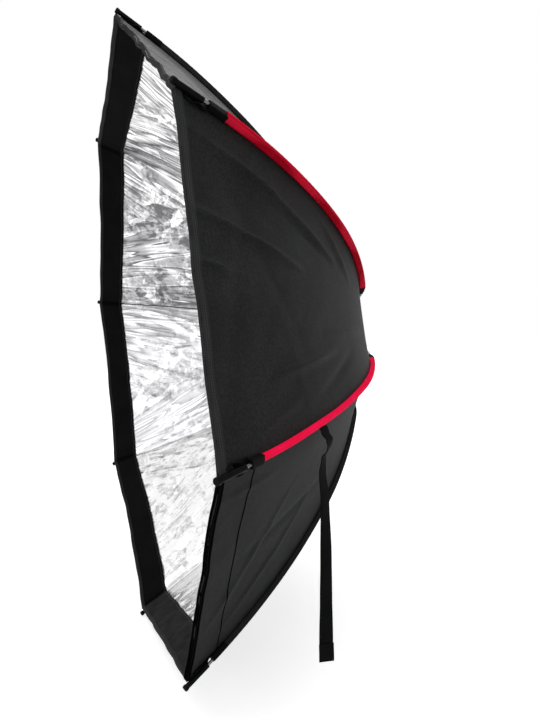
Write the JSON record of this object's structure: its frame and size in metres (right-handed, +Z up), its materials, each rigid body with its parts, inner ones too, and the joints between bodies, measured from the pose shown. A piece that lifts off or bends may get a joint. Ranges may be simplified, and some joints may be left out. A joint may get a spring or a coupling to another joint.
{
  "type": "octabox softbox",
  "caption": "Deep octagonal folding softbox on sprung ribs, silver inside, with a bayonet speedring hub.",
  "frame": {"origin": "centre of the speedring insert's rear seat face, on the optical axis", "axes": "+Y along the optical axis towards the lamp, -Y out of the open front, +Z up, with rib 1 turned 14.3 degrees from +Z towards +X"},
  "size_m": [1.1952, 0.476, 1.1952],
  "materials": {
    "canopy_cloth": "black woven polyester, silver coated inside",
    "arm_metal": "satin",
    "rod_steel": "polished spring steel",
    "tip_plastic": "glossy black",
    "sleeve_red": "red webbing",
    "sleeve_black": "black webbing",
    "hub_paint": "satin black paint",
    "insert_metal": "turned",
    "screw_steel": "zinc plated",
    "spring_steel": "blued spring steel",
    "strap_webbing": "black webbing"
  },
  "bodies": {
    "hub": {"hub_ring": "hub_paint", "mount_insert": "insert_metal", "bayonet_collar": "insert_metal", "bayonet_lugs": "insert_metal", "front_plate": "hub_paint", "insert_screws": "screw_steel", "cover_screws": "screw_steel", "hinge_pins": "screw_steel", "detent_springs": "spring_steel"},
    "rib_1": {"arm_1": "arm_metal", "rod_1": "rod_steel", "tip_1": "tip_plastic", "sleeve_1": "sleeve_black"},
    "rib_2": {"arm_2": "arm_metal", "rod_2": "rod_steel", "tip_2": "tip_plastic", "sleeve_2": "sleeve_black"},
    "rib_3": {"arm_3": "arm_metal", "rod_3": "rod_steel", "tip_3": "tip_plastic", "sleeve_3": "sleeve_black"},
    "rib_4": {"arm_4": "arm_metal", "rod_4": "rod_steel", "tip_4": "tip_plastic", "sleeve_4": "sleeve_black"},
    "rib_5": {"arm_5": "arm_metal", "rod_5": "rod_steel", "tip_5": "tip_plastic", "sleeve_5": "sleeve_black"},
    "rib_6": {"arm_6": "arm_metal", "rod_6": "rod_steel", "tip_6": "tip_plastic", "sleeve_6": "sleeve_black"},
    "rib_7": {"arm_7": "arm_metal", "rod_7": "rod_steel", "tip_7": "tip_plastic", "sleeve_7": "sleeve_red"},
    "rib_8": {"arm_8": "arm_metal", "rod_8": "rod_steel", "tip_8": "tip_plastic", "sleeve_8": "sleeve_red"},
    "canopy_1_left": {"canopy_1_left": "canopy_cloth"},
    "canopy_1_right": {"canopy_1_right": "canopy_cloth"},
    "canopy_2_left": {"canopy_2_left": "canopy_cloth"},
    "canopy_2_right": {"canopy_2_right": "canopy_cloth"},
    "canopy_3_left": {"canopy_3_left": "canopy_cloth"},
    "canopy_3_right": {"canopy_3_right": "canopy_cloth"},
    "canopy_4_left": {"canopy_4_left": "canopy_cloth"},
    "canopy_4_right": {"canopy_4_right": "canopy_cloth"},
    "canopy_5_left": {"canopy_5_left": "canopy_cloth"},
    "canopy_5_right": {"canopy_5_right": "canopy_cloth"},
    "canopy_6_left": {"canopy_6_left": "canopy_cloth"},
    "canopy_6_right": {"canopy_6_right": "canopy_cloth"},
    "canopy_7_left": {"canopy_7_left": "canopy_cloth"},
    "canopy_7_right": {"canopy_7_right": "canopy_cloth"},
    "canopy_8_left": {"canopy_8_left": "canopy_cloth"},
    "canopy_8_right": {"canopy_8_right": "canopy_cloth"},
    "strap": {"strap": "strap_webbing"}
  },
  "joints": [
    {"name": "rib_1_fold", "type": "hinge", "parent": "hub", "child": "rib_1", "pos_m": [0.01976, -0.018, 0.07752], "axis": [0.969, 0, -0.247], "range_deg": [0, 50]},
    {"name": "rib_2_fold", "type": "hinge", "parent": "hub", "child": "rib_2", "pos_m": [-0.04084, -0.018, 0.06879], "axis": [0.8599, 0, 0.5105], "range_deg": [0, 50]},
    {"name": "rib_3_fold", "type": "hinge", "parent": "hub", "child": "rib_3", "pos_m": [-0.07752, -0.018, 0.01976], "axis": [0.247, 0, 0.969], "range_deg": [0, 50]},
    {"name": "rib_4_fold", "type": "hinge", "parent": "hub", "child": "rib_4", "pos_m": [-0.06879, -0.018, -0.04084], "axis": [-0.5105, 0, 0.8599], "range_deg": [0, 50]},
    {"name": "rib_5_fold", "type": "hinge", "parent": "hub", "child": "rib_5", "pos_m": [-0.01976, -0.018, -0.07752], "axis": [-0.969, 0, 0.247], "range_deg": [0, 50]},
    {"name": "rib_6_fold", "type": "hinge", "parent": "hub", "child": "rib_6", "pos_m": [0.04084, -0.018, -0.06879], "axis": [-0.8599, 0, -0.5105], "range_deg": [0, 50]},
    {"name": "rib_7_fold", "type": "hinge", "parent": "hub", "child": "rib_7", "pos_m": [0.07752, -0.018, -0.01976], "axis": [-0.247, 0, -0.969], "range_deg": [0, 50]},
    {"name": "rib_8_fold", "type": "hinge", "parent": "hub", "child": "rib_8", "pos_m": [0.06879, -0.018, 0.04084], "axis": [0.5105, 0, -0.8599], "range_deg": [0, 50]},
    {"name": "canopy_1_left_fold", "type": "hinge", "parent": "rib_1", "child": "canopy_1_left", "pos_m": [-0.01235, -0.018, 0.08571], "axis": [-0.7937, 0.1722, 0.5834], "range_deg": [0, 26.27], "deforming": ["canopy_1_left"]},
    {"name": "canopy_1_right_fold", "type": "hinge", "parent": "rib_1", "child": "canopy_1_right", "pos_m": [0.05187, -0.018, 0.06934], "axis": [-0.9761, -0.1722, -0.1323], "range_deg": [0, 26.27], "deforming": ["canopy_1_right"]},
    {"name": "canopy_2_left_fold", "type": "hinge", "parent": "rib_2", "child": "canopy_2_left", "pos_m": [-0.06934, -0.018, 0.05187], "axis": [-0.9738, 0.1722, -0.1487], "range_deg": [0, 26.27], "deforming": ["canopy_2_left"]},
    {"name": "canopy_2_right_fold", "type": "hinge", "parent": "rib_2", "child": "canopy_2_right", "pos_m": [-0.01235, -0.018, 0.08571], "axis": [-0.5967, -0.1722, -0.7838], "range_deg": [0, 26.27], "deforming": ["canopy_2_right"]},
    {"name": "canopy_3_left_fold", "type": "hinge", "parent": "rib_3", "child": "canopy_3_left", "pos_m": [-0.08571, -0.018, -0.01235], "axis": [-0.5834, 0.1722, -0.7937], "range_deg": [0, 26.27], "deforming": ["canopy_3_left"]},
    {"name": "canopy_3_right_fold", "type": "hinge", "parent": "rib_3", "child": "canopy_3_right", "pos_m": [-0.06934, -0.018, 0.05187], "axis": [0.1323, -0.1722, -0.9761], "range_deg": [0, 26.27], "deforming": ["canopy_3_right"]},
    {"name": "canopy_4_left_fold", "type": "hinge", "parent": "rib_4", "child": "canopy_4_left", "pos_m": [-0.05187, -0.018, -0.06934], "axis": [0.1487, 0.1722, -0.9738], "range_deg": [0, 26.27], "deforming": ["canopy_4_left"]},
    {"name": "canopy_4_right_fold", "type": "hinge", "parent": "rib_4", "child": "canopy_4_right", "pos_m": [-0.08571, -0.018, -0.01235], "axis": [0.7838, -0.1722, -0.5967], "range_deg": [0, 26.27], "deforming": ["canopy_4_right"]},
    {"name": "canopy_5_left_fold", "type": "hinge", "parent": "rib_5", "child": "canopy_5_left", "pos_m": [0.01235, -0.018, -0.08571], "axis": [0.7937, 0.1722, -0.5834], "range_deg": [0, 26.27], "deforming": ["canopy_5_left"]},
    {"name": "canopy_5_right_fold", "type": "hinge", "parent": "rib_5", "child": "canopy_5_right", "pos_m": [-0.05187, -0.018, -0.06934], "axis": [0.9761, -0.1722, 0.1323], "range_deg": [0, 26.27], "deforming": ["canopy_5_right"]},
    {"name": "canopy_6_left_fold", "type": "hinge", "parent": "rib_6", "child": "canopy_6_left", "pos_m": [0.06934, -0.018, -0.05187], "axis": [0.9738, 0.1722, 0.1487], "range_deg": [0, 26.27], "deforming": ["canopy_6_left"]},
    {"name": "canopy_6_right_fold", "type": "hinge", "parent": "rib_6", "child": "canopy_6_right", "pos_m": [0.01235, -0.018, -0.08571], "axis": [0.5967, -0.1722, 0.7838], "range_deg": [0, 26.27], "deforming": ["canopy_6_right"]},
    {"name": "canopy_7_left_fold", "type": "hinge", "parent": "rib_7", "child": "canopy_7_left", "pos_m": [0.08571, -0.018, 0.01235], "axis": [0.5834, 0.1722, 0.7937], "range_deg": [0, 26.27], "deforming": ["canopy_7_left"]},
    {"name": "canopy_7_right_fold", "type": "hinge", "parent": "rib_7", "child": "canopy_7_right", "pos_m": [0.06934, -0.018, -0.05187], "axis": [-0.1323, -0.1722, 0.9761], "range_deg": [0, 26.27], "deforming": ["canopy_7_right"]},
    {"name": "canopy_8_left_fold", "type": "hinge", "parent": "rib_8", "child": "canopy_8_left", "pos_m": [0.05187, -0.018, 0.06934], "axis": [-0.1487, 0.1722, 0.9738], "range_deg": [0, 26.27], "deforming": ["canopy_8_left"]},
    {"name": "canopy_8_right_fold", "type": "hinge", "parent": "rib_8", "child": "canopy_8_right", "pos_m": [0.08571, -0.018, 0.01235], "axis": [-0.7838, -0.1722, 0.5967], "range_deg": [0, 26.27], "deforming": ["canopy_8_right"]},
    {"name": "strap_hang", "type": "hinge", "parent": "rib_7", "child": "strap", "pos_m": [0.4661, -0.268, -0.12591], "axis": [-0.247, 0, -0.969], "range_deg": [-50, 0], "deforming": ["strap"]}
  ],
  "couplings": [
    {"joint": "rib_2_fold", "follows": "rib_1_fold", "ratio": 1},
    {"joint": "rib_3_fold", "follows": "rib_1_fold", "ratio": 1},
    {"joint": "rib_4_fold", "follows": "rib_1_fold", "ratio": 1},
    {"joint": "rib_5_fold", "follows": "rib_1_fold", "ratio": 1},
    {"joint": "rib_6_fold", "follows": "rib_1_fold", "ratio": 1},
    {"joint": "rib_7_fold", "follows": "rib_1_fold", "ratio": 1},
    {"joint": "rib_8_fold", "follows": "rib_1_fold", "ratio": 1},
    {"joint": "canopy_1_left_fold", "follows": "rib_1_fold", "ratio": 0.52533},
    {"joint": "canopy_1_right_fold", "follows": "rib_1_fold", "ratio": 0.52533},
    {"joint": "canopy_2_left_fold", "follows": "rib_1_fold", "ratio": 0.52533},
    {"joint": "canopy_2_right_fold", "follows": "rib_1_fold", "ratio": 0.52533},
    {"joint": "canopy_3_left_fold", "follows": "rib_1_fold", "ratio": 0.52533},
    {"joint": "canopy_3_right_fold", "follows": "rib_1_fold", "ratio": 0.52533},
    {"joint": "canopy_4_left_fold", "follows": "rib_1_fold", "ratio": 0.52533},
    {"joint": "canopy_4_right_fold", "follows": "rib_1_fold", "ratio": 0.52533},
    {"joint": "canopy_5_left_fold", "follows": "rib_1_fold", "ratio": 0.52533},
    {"joint": "canopy_5_right_fold", "follows": "rib_1_fold", "ratio": 0.52533},
    {"joint": "canopy_6_left_fold", "follows": "rib_1_fold", "ratio": 0.52533},
    {"joint": "canopy_6_right_fold", "follows": "rib_1_fold", "ratio": 0.52533},
    {"joint": "canopy_7_left_fold", "follows": "rib_1_fold", "ratio": 0.52533},
    {"joint": "canopy_7_right_fold", "follows": "rib_1_fold", "ratio": 0.52533},
    {"joint": "canopy_8_left_fold", "follows": "rib_1_fold", "ratio": 0.52533},
    {"joint": "canopy_8_right_fold", "follows": "rib_1_fold", "ratio": 0.52533},
    {"joint": "strap_hang", "follows": "rib_1_fold", "ratio": -1}
  ]
}
